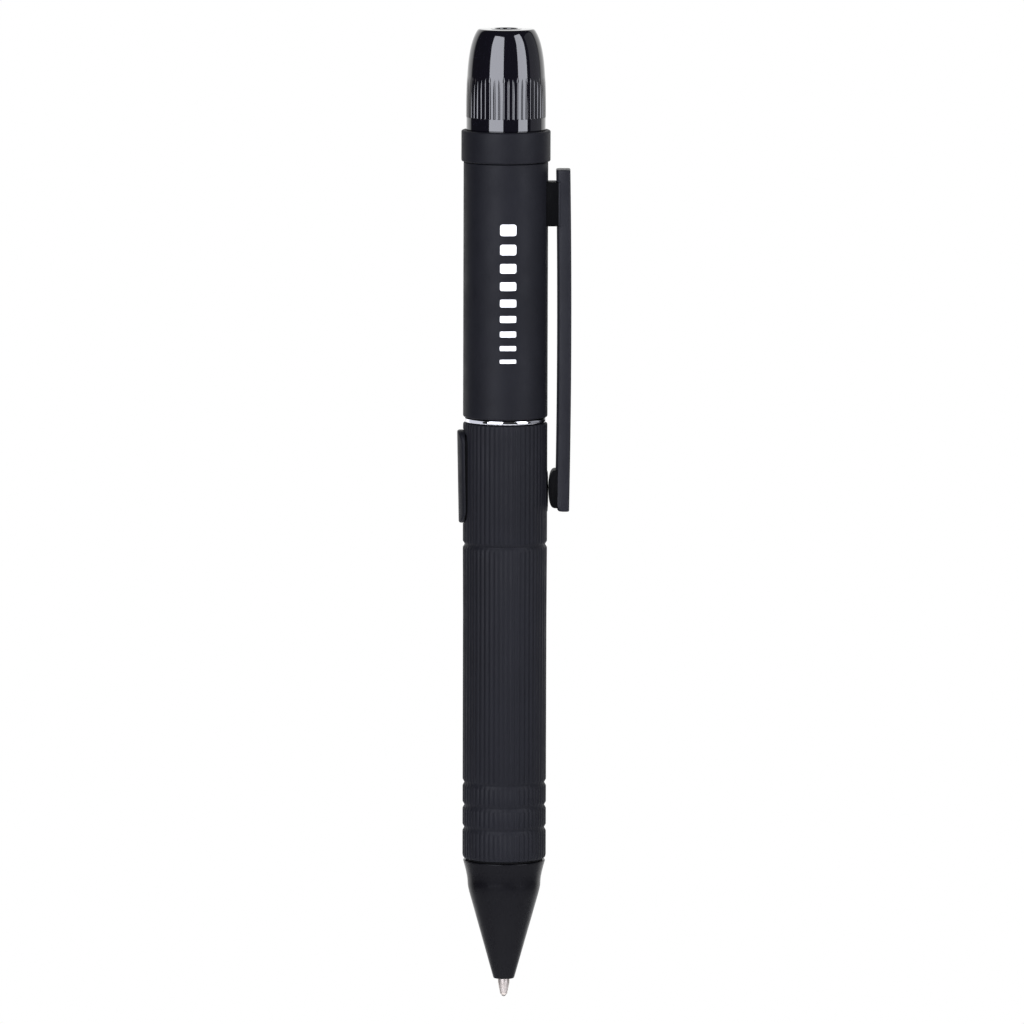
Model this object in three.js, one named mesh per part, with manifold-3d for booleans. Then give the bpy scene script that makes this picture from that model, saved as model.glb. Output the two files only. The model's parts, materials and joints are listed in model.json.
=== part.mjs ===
// A pen-shaped banknote checker: an ultraviolet lamp in the head, a ballpoint at the tip.
// Millimetres, +Z up, writing tip down, clip towards +X, lamp button towards -X.
// Heights are measured up from the writing tip. The finished pen is then lowered as one
// group, so that the origin lies on the pen's axis just under the clip's post, where the
// hem of a pocket carries the pen.
import * as THREE from "three";
import { mergeVertices } from "three/addons/utils/BufferGeometryUtils.js";
import Module from "manifold-3d";

const wasm = await Module();
wasm.setup();

// ---- driving dimensions -------------------------------------------------------------
const PEN_LENGTH = 150;
const BARREL_R = 6.5;
const COLLAR_R = 6.85;
const HEAD_R = 6.1;
const HEAD_TOP_R = 4.2;
const APERTURE_R = 1.75;
const RING_R = 6.35;
const GRIP_BORE_R = 5.3;
const HOUSING_BORE_R = 5.35;
const CELL_R = 5.25; // an AAA cell, 10.5 x 44.5
const CELL_LENGTH = 44.5;
const CELL_BORE_R = 5.45;
const REFILL_R = 1.175; // a D1 refill, 2.35 x 67
const REFILL_LENGTH = 67;
const REFILL_TRAVEL = 5.5; // drawn back over half a turn of the grip

// Heights of the joints between the outer pieces.
const NOSE_END = 2.9;
const NOSE_TOP = 21.45;
const GRIP_BOTTOM = 21.75;
const TWIST_LINE = 70.5;
const HOUSING_TOP = 89.3;
const BARREL_BOTTOM = 90.2;
const BARREL_TOP = 129.5;
const COLLAR_TOP = 134.4;
const SEAM = 0.1; // gap where two pieces meet

// Clip.
const CLIP_WIDTH = 4;
const CLIP_THICKNESS = 2.2;
const CLIP_TOP = 128.4;
const CLIP_END = 75.5;
const CLIP_INNER = [7.7, 7.93, 7.66]; // distance of the inner face from the axis: top, middle, end
const POST_BOTTOM = 119.7;
const POST_TOP = 126.5;
const POST_OUTER = 8.35; // the post and the ball are let into notches in the arm
const TENON_WIDTH = 3;
const BALL_OUTER = 8.0;
const BALL_HEIGHT = 79.1;
const BALL_REACH = 6.66;
const BALL_HALF = [1.3, 2.9, 3]; // the ball's half axes along X, Y and Z

// Lamp button.
const BUTTON_BOTTOM = 73.8;
const BUTTON_TOP = 88.1;
const BUTTON_WIDTH = 5.6;
const BUTTON_CORNER = 2.2;
const BUTTON_REACH_TOP = 7.4; // the face leans in a little towards the tip
const BUTTON_REACH_BOTTOM = 7.13;
const BUTTON_CROWN_R = 5;
const BUTTON_BACK = 4.3;
const SWITCH_HEIGHT = (BUTTON_BOTTOM + BUTTON_TOP) / 2;

// Hidden joints.
const THREAD_CLEARANCE = 0.1;
const NOSE_SPIGOT_R = GRIP_BORE_R - THREAD_CLEARANCE;
const NECK_R = CELL_BORE_R - THREAD_CLEARANCE;
const SKIRT_R = COLLAR_R - 0.93; // barrel end and head skirt, both inside the collar

const FACETS = 48; // around the large turned pieces
const RING_FACETS = 32; // around inner pieces
const LENS_FACETS = 24;
const SMALL_FACETS = 16;
const PAD_FACETS = 96;
const CROWN_FACETS = 80;

// ---- finishes -----------------------------------------------------------------------
const FINISH = {
  softTouch: { color: 0x2b2b2f, roughness: 0.7, metalness: 0 },
  nose: { color: 0x222226, roughness: 0.4, metalness: 0 },
  gloss: { color: 0x0c0b11, roughness: 0.08, metalness: 0 },
  blackMetal: { color: 0x2e2e32, roughness: 0.5, metalness: 0.3 },
  black: { color: 0x0c0c0e, roughness: 0.6, metalness: 0 },
  chrome: { color: 0xe8e8ea, roughness: 0.05, metalness: 1 },
  nickel: { color: 0xc8beb8, roughness: 0.3, metalness: 1 },
  steel: { color: 0xb4b4b8, roughness: 0.35, metalness: 1 },
  brass: { color: 0xc9a54e, roughness: 0.35, metalness: 1 },
  plastic: { color: 0xd8d8d2, roughness: 0.5, metalness: 0 },
  board: { color: 0x17452c, roughness: 0.5, metalness: 0 },
  rubber: { color: 0x121214, roughness: 0.85, metalness: 0 },
  ink: { color: 0x1a2440, roughness: 0.3, metalness: 0 },
  lens: { color: 0xc9d3ea, roughness: 0.05, metalness: 0 },
  cellSleeve: { color: 0x5a6068, roughness: 0.4, metalness: 0.2 },
};

// ---- geometry helpers ---------------------------------------------------------------
// A solid of revolution about Z. The outline is a list of [radius, height].
function turned(outline, facets = FACETS) {
  const points = outline.map(([radius, height]) => new THREE.Vector2(radius, height));
  return new THREE.LatheGeometry(points, facets).rotateX(Math.PI / 2);
}

// A tube or ring: the outline is closed on itself.
function turnedRing(outline, facets = FACETS) {
  return turned([...outline, outline[0]], facets);
}

// A plain tube between two heights.
function tube(innerR, outerR, bottom, top, facets = FACETS) {
  const outline = [[innerR, bottom], [outerR, bottom], [outerR, top], [innerR, top]];
  return turnedRing(outline, facets);
}

// A round rubber ring lying flat, its centre line at the given radius and height.
function rubberRing(centreR, wireR, height) {
  return new THREE.TorusGeometry(centreR, wireR, 6, RING_FACETS).translate(0, 0, height);
}

// A block between two corners.
function block([x0, y0, z0], [x1, y1, z1]) {
  return new THREE.BoxGeometry(x1 - x0, y1 - y0, z1 - z0).translate(
    (x0 + x1) / 2,
    (y0 + y1) / 2,
    (z0 + z1) / 2,
  );
}

// A round rod along X between two distances from the axis.
function crossRod(radius, x0, x1, height, facets = SMALL_FACETS) {
  return new THREE.CylinderGeometry(radius, radius, x1 - x0, facets)
    .rotateZ(-Math.PI / 2)
    .translate((x0 + x1) / 2, 0, height);
}

// A coil spring about Z, with a radius that may change from its foot to its top.
function coilSpring({ bottom, top, footR, topR, wireR, turns }) {
  class Coil extends THREE.Curve {
    getPoint(t, target = new THREE.Vector3()) {
      const angle = t * turns * 2 * Math.PI;
      const radius = footR + (topR - footR) * t;
      const height = bottom + wireR + (top - bottom - 2 * wireR) * t;
      return target.set(radius * Math.cos(angle), radius * Math.sin(angle), height);
    }
  }
  const section = new THREE.Shape();
  section.absarc(0, 0, wireR, 0, 2 * Math.PI, false);
  const steps = turns * 10;
  const settings = { extrudePath: new Coil(), steps, curveSegments: 3, bevelEnabled: false };
  return new THREE.ExtrudeGeometry(section, settings);
}

function toManifold(geometry) {
  const plain = geometry.clone();
  plain.deleteAttribute("normal");
  plain.deleteAttribute("uv");
  const merged = mergeVertices(plain, 1e-4);
  const vertProperties = new Float32Array(merged.attributes.position.array);
  const triVerts = new Uint32Array(merged.index.array);
  return new wasm.Manifold(new wasm.Mesh({ numProp: 3, vertProperties, triVerts }));
}

function toGeometry(manifold) {
  const mesh = manifold.getMesh();
  return new THREE.BufferGeometry()
    .setAttribute("position", new THREE.BufferAttribute(mesh.vertProperties, 3))
    .setIndex(new THREE.BufferAttribute(mesh.triVerts, 1));
}

function joined(first, ...others) {
  const sum = others.reduce((whole, next) => whole.add(toManifold(next)), toManifold(first));
  return toGeometry(sum);
}

function cut(blank, ...tools) {
  const rest = tools.reduce((body, tool) => body.subtract(toManifold(tool)), toManifold(blank));
  return toGeometry(rest);
}

function common(first, second) {
  return toGeometry(toManifold(first).intersect(toManifold(second)));
}

// Adds one named piece to a group.
function addPiece(group, name, geometry, finish) {
  if (!geometry.attributes.normal) geometry.computeVertexNormals();
  const mesh = new THREE.Mesh(geometry, new THREE.MeshStandardMaterial(finish));
  mesh.name = name;
  group.add(mesh);
  return mesh;
}

// ---- refill: it slides in the nose ---------------------------------------------------
function refillTip() {
  const coneTop = 6;
  const shoulder = 9;
  return turned([
    [0, 0.42],
    [0.42, 0.42],
    [0.6, 1.0],
    [0.78, 1.75],
    [0.88, 2.9],
    [REFILL_R, coneTop],
    [REFILL_R, shoulder],
    [0.95, shoulder],
    [0.95, shoulder + 2.2],
    [0, shoulder + 2.2],
  ], SMALL_FACETS);
}

function writingBall() {
  const radius = 0.35;
  const cap = new THREE.SphereGeometry(radius, 12, 8).rotateX(Math.PI / 2);
  const seat = block([-1, -1, 0.38], [1, 1, 2]);
  return cut(cap.translate(0, 0, radius), seat);
}

function refillTube() {
  const bottom = 9 + SEAM;
  const wall = 0.2;
  return tube(REFILL_R - wall, REFILL_R, bottom, REFILL_LENGTH, SMALL_FACETS);
}

const CARRIER_BOTTOM = 57;
const CARRIER_TOP = 69;
const CARRIER_R = 3.15;
const PIN_R = 0.6;
const PIN_HEIGHT = 60;
const PIN_INNER = 1.75;
const PIN_OUTER = 5.05;

function refillCarrier() {
  const socket = REFILL_R + 0.06;
  const floor = REFILL_LENGTH + SEAM;
  const body = turned([
    [socket, CARRIER_BOTTOM],
    [CARRIER_R - 0.3, CARRIER_BOTTOM],
    [CARRIER_R, CARRIER_BOTTOM + 0.3],
    [CARRIER_R, CARRIER_TOP - 0.3],
    [CARRIER_R - 0.3, CARRIER_TOP],
    [0, CARRIER_TOP],
    [0, floor],
    [socket, floor],
    [socket, CARRIER_BOTTOM],
  ], RING_FACETS);
  const pinHole = crossRod(PIN_R + 0.05, PIN_INNER - 0.1, CARRIER_R + 1, PIN_HEIGHT);
  return cut(body, pinHole);
}

function makeRefill() {
  const group = new THREE.Group();
  addPiece(group, "writing_ball", writingBall(), FINISH.steel);
  addPiece(group, "refill_tip", refillTip(), FINISH.nickel);
  addPiece(group, "refill_tube", refillTube(), FINISH.ink);
  addPiece(group, "refill_carrier", refillCarrier(), FINISH.plastic);
  addPiece(group, "cam_pin", crossRod(PIN_R, PIN_INNER, PIN_OUTER, PIN_HEIGHT), FINISH.steel);
  return group;
}

// ---- nose: it screws out of the grip to change the refill ----------------------------
function noseCone() {
  const bore = REFILL_R + 0.095;
  const spigotTop = 28;
  return turnedRing([
    [bore, NOSE_END],
    [1.5, NOSE_END],
    [1.58, 3.1],
    [5.33, 16.5],
    [5.48, 17.1],
    [5.53, 17.7],
    [5.51, 18.35],
    [5.63, 19.0],
    [5.93, 20.2],
    [6.3, NOSE_TOP - 0.2],
    [6.3, NOSE_TOP],
    [NOSE_SPIGOT_R, NOSE_TOP],
    [NOSE_SPIGOT_R, spigotTop],
    [4.4, spigotTop],
    [4.4, 19],
    [2.2, 10],
    [bore, 8],
  ]);
}

function makeNose() {
  const group = new THREE.Group();
  const gasket = tube(NOSE_SPIGOT_R + 0.08, 5.95, NOSE_TOP + 0.05, GRIP_BOTTOM - 0.05);
  addPiece(group, "nose_cone", noseCone(), FINISH.nose);
  addPiece(group, "nose_gasket", gasket, FINISH.rubber);
  return group;
}

// ---- grip: it twists against the switch housing --------------------------------------
// The outline of a V groove in an outer surface, from its lower lip to its upper lip.
function groove(height, radius) {
  const halfHeight = 0.5;
  const depth = 0.28;
  return [[radius, height - halfHeight], [radius - depth, height], [radius, height + halfHeight]];
}

const GRIP_GROOVES = [26.5, 30.0, 33.5];

function gripSleeve() {
  const waistR = BARREL_R - 0.05;
  return turnedRing([
    [GRIP_BORE_R, GRIP_BOTTOM],
    [6.12, GRIP_BOTTOM],
    [6.4, GRIP_BOTTOM + 0.22],
    [waistR, GRIP_BOTTOM + 0.7],
    ...GRIP_GROOVES.flatMap((height) => groove(height, waistR)),
    [waistR, 60],
    [BARREL_R, TWIST_LINE - 0.6],
    [BARREL_R - 0.28, TWIST_LINE - SEAM],
    [GRIP_BORE_R, TWIST_LINE - SEAM],
  ]);
}

// The cam's lower rim is a ramp that the pin runs under: it climbs by the refill's travel
// over half a turn, and a wall at each end stops the twist.
const CAM_TOP = 68.3;
const CAM_STOP = 59;
const CAM_RIM = PIN_HEIGHT + PIN_R + 0.35;

function camRim(turn) {
  const facet = 1 / FACETS;
  if (turn <= 0.5) return CAM_RIM + (REFILL_TRAVEL * turn) / 0.5;
  if (turn <= 0.5 + 2 * facet) return CAM_RIM + REFILL_TRAVEL;
  if (turn >= 1 - 2 * facet) return CAM_RIM;
  return CAM_STOP;
}

function twistCam() {
  const geometry = tube(4.35, GRIP_BORE_R - 0.06, 0, CAM_TOP);
  const position = geometry.attributes.position;
  for (let i = 0; i < position.count; i += 1) {
    if (position.getZ(i) > CAM_TOP / 2) continue;
    const angle = Math.atan2(position.getY(i), position.getX(i));
    const facet = Math.round((-angle / (2 * Math.PI)) * FACETS);
    const turn = ((facet + FACETS) % FACETS) / FACETS;
    position.setZ(i, camRim(turn));
  }
  return geometry;
}

function makeGrip() {
  const group = new THREE.Group();
  addPiece(group, "grip_sleeve", gripSleeve(), FINISH.softTouch);
  addPiece(group, "twist_cam", twistCam(), FINISH.brass);
  return group;
}

// ---- switch section: it screws out of the upper barrel to change the cell -------------
const STATOR_R = 4.2;
const STATOR_BOTTOM = 44;
const STATOR_TOP = 73;

function twistStator() {
  const bore = 3.3;
  const flangeR = HOUSING_BORE_R - 0.06;
  const flangeBottom = TWIST_LINE + 0.4;
  const floorTop = STATOR_BOTTOM + 1.2;
  const body = turnedRing([
    [1.5, STATOR_BOTTOM],
    [STATOR_R, STATOR_BOTTOM],
    [STATOR_R, flangeBottom],
    [flangeR, flangeBottom],
    [flangeR, STATOR_TOP],
    [bore, STATOR_TOP],
    [bore, floorTop],
    [1.5, floorTop],
  ], RING_FACETS);
  const slotHalf = PIN_R + 0.15;
  const slotTop = PIN_HEIGHT + REFILL_TRAVEL + 1;
  const slot = block([bore - 1, -slotHalf, PIN_HEIGHT - 1], [STATOR_R + 1, slotHalf, slotTop]);
  return cut(body, slot);
}

function refillSpring() {
  const bottom = STATOR_BOTTOM + 1.3;
  const top = CARRIER_BOTTOM - 0.1;
  return coilSpring({ bottom, top, footR: 2.2, topR: 2.2, wireR: 0.2, turns: 7 });
}

const NECK_TOP = 94.6;
const NECK_BORE_R = 4.55;
const NECK_RING_HEIGHT = 93.4;
const BUTTON_GAP = 0.15;
const PAD_BOTTOM = 75.4;
const PAD_TOP = 81.9;
const PAD_WIDTH = 4;
const PAD_R = 6.6;

function switchHousing() {
  const shelf = HOUSING_TOP - 0.7;
  const body = turnedRing([
    [HOUSING_BORE_R, TWIST_LINE + SEAM],
    [BARREL_R - 0.28, TWIST_LINE + SEAM],
    [BARREL_R, TWIST_LINE + 0.6],
    [BARREL_R, HOUSING_TOP - 0.35],
    [6.2, HOUSING_TOP],
    [NECK_R, HOUSING_TOP],
    [NECK_R, NECK_RING_HEIGHT - 0.5],
    [NECK_R - 0.5, NECK_RING_HEIGHT - 0.5],
    [NECK_R - 0.5, NECK_RING_HEIGHT + 0.5],
    [NECK_R, NECK_RING_HEIGHT + 0.5],
    [NECK_R, NECK_TOP],
    [NECK_BORE_R, NECK_TOP],
    [NECK_BORE_R, shelf],
    [HOUSING_BORE_R, shelf],
  ]);
  const half = BUTTON_WIDTH / 2 + BUTTON_GAP;
  const low = [-9, -half, BUTTON_BOTTOM - BUTTON_GAP];
  const opening = block(low, [-2, half, BUTTON_TOP + BUTTON_GAP]);
  const padHalf = PAD_WIDTH / 2 + SEAM;
  const recess = block([5.9, -padHalf, PAD_BOTTOM - SEAM], [9, padHalf, PAD_TOP + SEAM]);
  return cut(body, opening, recess);
}

function landingPad() {
  const half = PAD_WIDTH / 2;
  const blank = block([6, -half, PAD_BOTTOM], [9, half, PAD_TOP]);
  const low = PAD_BOTTOM - 1;
  const high = PAD_TOP + 1;
  return common(blank, turned([[0, low], [PAD_R, low], [PAD_R, high], [0, high]], PAD_FACETS));
}

function lampButton() {
  const half = BUTTON_WIDTH / 2;
  const height = BUTTON_TOP - BUTTON_BOTTOM;
  const outline = new THREE.Shape();
  const c = BUTTON_CORNER;
  outline.moveTo(-half + c, 0);
  outline.absarc(half - c, c, c, -Math.PI / 2, 0, false);
  outline.absarc(half - c, height - c, c, 0, Math.PI / 2, false);
  outline.absarc(-half + c, height - c, c, Math.PI / 2, Math.PI, false);
  outline.absarc(-half + c, c, c, Math.PI, 1.5 * Math.PI, false);
  const settings = { depth: 4, curveSegments: 6, bevelEnabled: false };
  const key = new THREE.ExtrudeGeometry(outline, settings)
    .rotateX(Math.PI / 2)
    .rotateZ(-Math.PI / 2)
    .translate(-BUTTON_BACK, 0, BUTTON_BOTTOM);
  const crownAxis = BUTTON_REACH_TOP - BUTTON_CROWN_R;
  const lean = BUTTON_REACH_TOP - BUTTON_REACH_BOTTOM;
  const edge = 0.35;
  const face = turned([
    [0, BUTTON_BOTTOM],
    [BUTTON_CROWN_R - lean - edge, BUTTON_BOTTOM],
    [BUTTON_CROWN_R - lean, BUTTON_BOTTOM + edge],
    [BUTTON_CROWN_R, BUTTON_TOP - edge],
    [BUTTON_CROWN_R - edge, BUTTON_TOP],
    [0, BUTTON_TOP],
  ], CROWN_FACETS).translate(-crownAxis, 0, 0);
  const tongueHalf = 1.9;
  const tongueLow = [-BUTTON_BACK - 0.6, -tongueHalf, BUTTON_BOTTOM - 0.45];
  const tongue = block(tongueLow, [-BUTTON_BACK, tongueHalf, BUTTON_TOP + 0.4]);
  const nub = crossRod(1, -BUTTON_BACK - 0.2, -3.85, SWITCH_HEIGHT);
  return joined(common(key, face), tongue, nub);
}

const BOARD_FRONT = -1.6;
const BOARD_BACK = -0.8;
const SWITCH_FRONT = -3;
const PLUNGER_R = 0.85;

function tactSwitch() {
  const half = 1.7;
  const back = BOARD_FRONT - SEAM;
  const low = [SWITCH_FRONT, -half, SWITCH_HEIGHT - half];
  const can = block(low, [back, half, SWITCH_HEIGHT + half]);
  return cut(can, crossRod(PLUNGER_R + 0.08, -5, back - 0.15, SWITCH_HEIGHT));
}

function boardCarrier() {
  const bottom = 76.2;
  const top = HOUSING_TOP - 0.9;
  const radius = HOUSING_BORE_R - 0.25;
  const round = turned([[0, bottom], [radius, bottom], [radius, top], [0, top]], RING_FACETS);
  const front = block([-9, -9, bottom - 1], [BOARD_BACK + SEAM, 9, top + 1]);
  const pocket = block([-2, -3.2, bottom + 1], [3, 3.2, top - 1]);
  return cut(round, front, pocket);
}

function batterySpring() {
  const bottom = HOUSING_TOP + 0.05;
  const top = CELL_BOTTOM - 0.1;
  return coilSpring({ bottom, top, footR: 3.6, topR: 2.4, wireR: 0.3, turns: 4 });
}

function makeSwitchSection() {
  const group = new THREE.Group();
  const neckRingR = NECK_R - 0.21;
  const plateBottom = HOUSING_TOP - 0.55;
  const chip = block([-2.7, -1.5, 77], [BOARD_FRONT - SEAM, 1.5, 78.5]);
  const coil = crossRod(1.4, SWITCH_FRONT, BOARD_FRONT - SEAM, SWITCH_HEIGHT + 4.3);
  const board = block([BOARD_FRONT, -4.2, 76.4], [BOARD_BACK, 4.2, HOUSING_TOP - 1.1]);
  const plate = turned([
    [0, plateBottom],
    [NECK_BORE_R - 0.12, plateBottom],
    [NECK_BORE_R - 0.12, plateBottom + 0.5],
    [0, plateBottom + 0.5],
  ], RING_FACETS);
  addPiece(group, "twist_stator", twistStator(), FINISH.plastic);
  addPiece(group, "refill_spring", refillSpring(), FINISH.steel);
  addPiece(group, "twist_o_ring", rubberRing(4.75, 0.48, TWIST_LINE - 1), FINISH.rubber);
  addPiece(group, "switch_housing", switchHousing(), FINISH.softTouch);
  addPiece(group, "clip_landing_pad", landingPad(), FINISH.softTouch);
  addPiece(group, "neck_o_ring", rubberRing(neckRingR, 0.24, NECK_RING_HEIGHT), FINISH.rubber);
  addPiece(group, "lamp_button", lampButton(), FINISH.softTouch);
  addPiece(group, "switch_board", board, FINISH.board);
  addPiece(group, "board_carrier", boardCarrier(), FINISH.plastic);
  addPiece(group, "tact_switch", tactSwitch(), FINISH.steel);
  const plunger = crossRod(PLUNGER_R, -3.55, -2.2, SWITCH_HEIGHT);
  addPiece(group, "tact_plunger", plunger, FINISH.black);
  addPiece(group, "driver_chip", chip, FINISH.black);
  addPiece(group, "driver_coil", coil, FINISH.black);
  addPiece(group, "spring_plate", plate, FINISH.brass);
  addPiece(group, "battery_spring", batterySpring(), FINISH.steel);
  return group;
}

// ---- upper barrel with the cell -------------------------------------------------------
const CELL_BOTTOM = 96.5;
const CELL_CAP_R = 1.9;
const CELL_CAP_HEIGHT = 1.3;
const NECK_JOINT = 132; // where barrel and head meet, hidden inside the collar

function trimRing() {
  const bottom = HOUSING_TOP + SEAM;
  const top = BARREL_BOTTOM - SEAM;
  return turnedRing([
    [CELL_BORE_R, bottom],
    [RING_R - 0.12, bottom],
    [RING_R, bottom + 0.12],
    [RING_R, top - 0.12],
    [RING_R - 0.12, top],
    [CELL_BORE_R, top],
  ]);
}

function upperBarrel() {
  const body = turnedRing([
    [CELL_BORE_R, BARREL_BOTTOM],
    [6.2, BARREL_BOTTOM],
    [6.42, BARREL_BOTTOM + 0.15],
    [BARREL_R, BARREL_BOTTOM + 0.5],
    [BARREL_R, BARREL_TOP - 0.2],
    [6.35, BARREL_TOP],
    [SKIRT_R, BARREL_TOP],
    [SKIRT_R, NECK_JOINT - SEAM],
    [CELL_BORE_R, NECK_JOINT - SEAM],
  ]);
  const half = TENON_WIDTH / 2 + SEAM;
  const slot = block([4, -half, POST_BOTTOM - SEAM], [9, half, POST_TOP + SEAM]);
  return cut(body, slot);
}

function collar() {
  const bottom = BARREL_TOP + SEAM;
  const round = 0.2;
  return turnedRing([
    [6, bottom],
    [COLLAR_R - round, bottom],
    [COLLAR_R, bottom + round],
    [COLLAR_R, COLLAR_TOP - round],
    [COLLAR_R - round, COLLAR_TOP],
    [6, COLLAR_TOP],
  ]);
}

function cellCan() {
  const top = CELL_BOTTOM + CELL_LENGTH - CELL_CAP_HEIGHT;
  const edge = 0.4;
  return turned([
    [0, CELL_BOTTOM],
    [CELL_R - edge, CELL_BOTTOM],
    [CELL_R, CELL_BOTTOM + edge],
    [CELL_R, top - edge],
    [CELL_R - edge, top],
    [0, top],
  ]);
}

function cellCap() {
  const top = CELL_BOTTOM + CELL_LENGTH;
  const bottom = top - CELL_CAP_HEIGHT + 0.05;
  return turned([
    [0, bottom],
    [CELL_CAP_R, bottom],
    [CELL_CAP_R, top - 0.2],
    [CELL_CAP_R - 0.2, top],
    [0, top],
  ], LENS_FACETS);
}

function makeUpperBarrel() {
  const group = new THREE.Group();
  addPiece(group, "trim_ring", trimRing(), FINISH.chrome);
  addPiece(group, "upper_barrel", upperBarrel(), FINISH.softTouch);
  addPiece(group, "collar", collar(), FINISH.softTouch);
  addPiece(group, "cell_can", cellCan(), FINISH.cellSleeve);
  addPiece(group, "cell_cap", cellCap(), FINISH.steel);
  return group;
}

// ---- lamp head ------------------------------------------------------------------------
const LAMP_SHELF = 141.9;
const LENS_SHELF = 146.1;

function lampHead() {
  const shoulder = COLLAR_TOP + SEAM;
  return turnedRing([
    [CELL_R + 0.15, NECK_JOINT + SEAM],
    [SKIRT_R, NECK_JOINT + SEAM],
    [SKIRT_R, shoulder],
    [HEAD_R, shoulder],
    [HEAD_R, 139.5],
    [6.03, 141.5],
    [5.94, 143.5],
    [5.74, 145.4],
    [5.43, 147.2],
    [5.08, 148.5],
    [4.66, 149.4],
    [HEAD_TOP_R, PEN_LENGTH],
    [APERTURE_R + 0.15, PEN_LENGTH],
    [APERTURE_R, PEN_LENGTH - 0.15],
    [APERTURE_R, 148.6],
    [3, 148.6],
    [3, LENS_SHELF],
    [4.6, LENS_SHELF],
    [4.6, LAMP_SHELF],
    [CELL_R + 0.15, LAMP_SHELF],
  ]);
}

function headLens() {
  return turned([
    [0, 146.2],
    [2.9, 146.2],
    [2.9, 147.6],
    [1.65, 147.9],
    [1.6, 148.8],
    [1.2, 149.2],
    [0.6, 149.4],
    [0, 149.45],
  ], LENS_FACETS);
}

function uvLed() {
  const half = 1.7;
  const base = block([-half, -half, 142.85], [half, half, 143.55]);
  const outline = [[0, 143], [1.45, 143], [1.45, 143.6], [1.1, 144.3], [0, 144.7]];
  const dome = turned(outline, LENS_FACETS);
  return joined(base, dome);
}

function makeLampHead() {
  const group = new THREE.Group();
  const contact = turned([[0, 141.1], [4.3, 141.1], [4.3, 141.4], [0, 141.4]], RING_FACETS);
  const board = turned([[0, 141.95], [4.48, 141.95], [4.48, 142.75], [0, 142.75]], RING_FACETS);
  const reflector = turnedRing([
    [2.6, 142.9],
    [4.48, 142.9],
    [4.48, LENS_SHELF - SEAM],
    [3.4, LENS_SHELF - SEAM],
    [2.6, 143.8],
  ], RING_FACETS);
  addPiece(group, "positive_contact", contact, FINISH.brass);
  addPiece(group, "led_board", board, FINISH.board);
  addPiece(group, "uv_led", uvLed(), FINISH.lens);
  addPiece(group, "led_reflector", reflector, FINISH.chrome);
  addPiece(group, "head_lens", headLens(), FINISH.lens);
  addPiece(group, "lamp_head", lampHead(), FINISH.gloss);
  return group;
}

// ---- pocket clip: its arm springs away from the barrel ---------------------------------
function clipArm() {
  const middle = (CLIP_TOP + CLIP_END) / 2;
  const heights = [CLIP_TOP, middle, CLIP_END + 0.9];
  const bow = CLIP_INNER.map((x, i) => new THREE.Vector2(x, heights[i]));
  const inner = new THREE.SplineCurve(bow).getPoints(10);
  const outer = inner.map((point) => new THREE.Vector2(point.x + CLIP_THICKNESS, point.y));
  const foot = [
    new THREE.Vector2(CLIP_INNER[2] + 0.6, CLIP_END),
    new THREE.Vector2(CLIP_INNER[2] + CLIP_THICKNESS - 0.1, CLIP_END),
  ];
  const outline = new THREE.Shape([...inner, ...foot, ...outer.reverse()]);
  const settings = { depth: CLIP_WIDTH, bevelEnabled: false };
  const bar = new THREE.ExtrudeGeometry(outline, settings)
    .rotateX(Math.PI / 2)
    .translate(0, CLIP_WIDTH / 2, 0);
  const notch = (low, high, depth) =>
    block([7, -CLIP_WIDTH, low - SEAM], [depth + SEAM, CLIP_WIDTH, high + SEAM]);
  const [, , ballHalf] = BALL_HALF;
  return cut(
    bar,
    notch(POST_BOTTOM, POST_TOP, POST_OUTER),
    notch(BALL_HEIGHT - ballHalf, BALL_HEIGHT + ballHalf, BALL_OUTER),
  );
}

// The post sits on the barrel like a saddle, with a tenon let into the barrel's wall.
function clipPost() {
  const half = CLIP_WIDTH / 2;
  const saddleR = BARREL_R + 0.06;
  const blank = block([6, -half, POST_BOTTOM], [POST_OUTER, half, POST_TOP]);
  const barrel = tube(0.5, saddleR, POST_BOTTOM - 1, POST_TOP + 1);
  const tenonHalf = TENON_WIDTH / 2;
  const tenon = block([5.62, -tenonHalf, POST_BOTTOM], [7, tenonHalf, POST_TOP]);
  return joined(cut(blank, barrel), tenon);
}

function clipBall() {
  const ball = new THREE.SphereGeometry(1, 32, 20)
    .scale(...BALL_HALF)
    .translate(BALL_REACH + BALL_HALF[0], 0, BALL_HEIGHT);
  const half = CLIP_WIDTH / 2;
  return common(ball, block([6, -half, BALL_HEIGHT - 4], [BALL_OUTER, half, BALL_HEIGHT + 4]));
}

function makeClip() {
  const group = new THREE.Group();
  addPiece(group, "clip_post", clipPost(), FINISH.black);
  addPiece(group, "clip_arm", clipArm(), FINISH.blackMetal);
  addPiece(group, "clip_ball", clipBall(), FINISH.black);
  return group;
}

// ---- the whole pen --------------------------------------------------------------------
const pen = new THREE.Group();
pen.add(
  makeRefill(),
  makeNose(),
  makeGrip(),
  makeSwitchSection(),
  makeUpperBarrel(),
  makeLampHead(),
  makeClip(),
);
pen.position.z = -POST_BOTTOM;

export default pen;
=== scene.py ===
"""A pen-shaped banknote checker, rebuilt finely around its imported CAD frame."""
import json
import math

import bmesh
import bpy
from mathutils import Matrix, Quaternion, Vector


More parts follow.
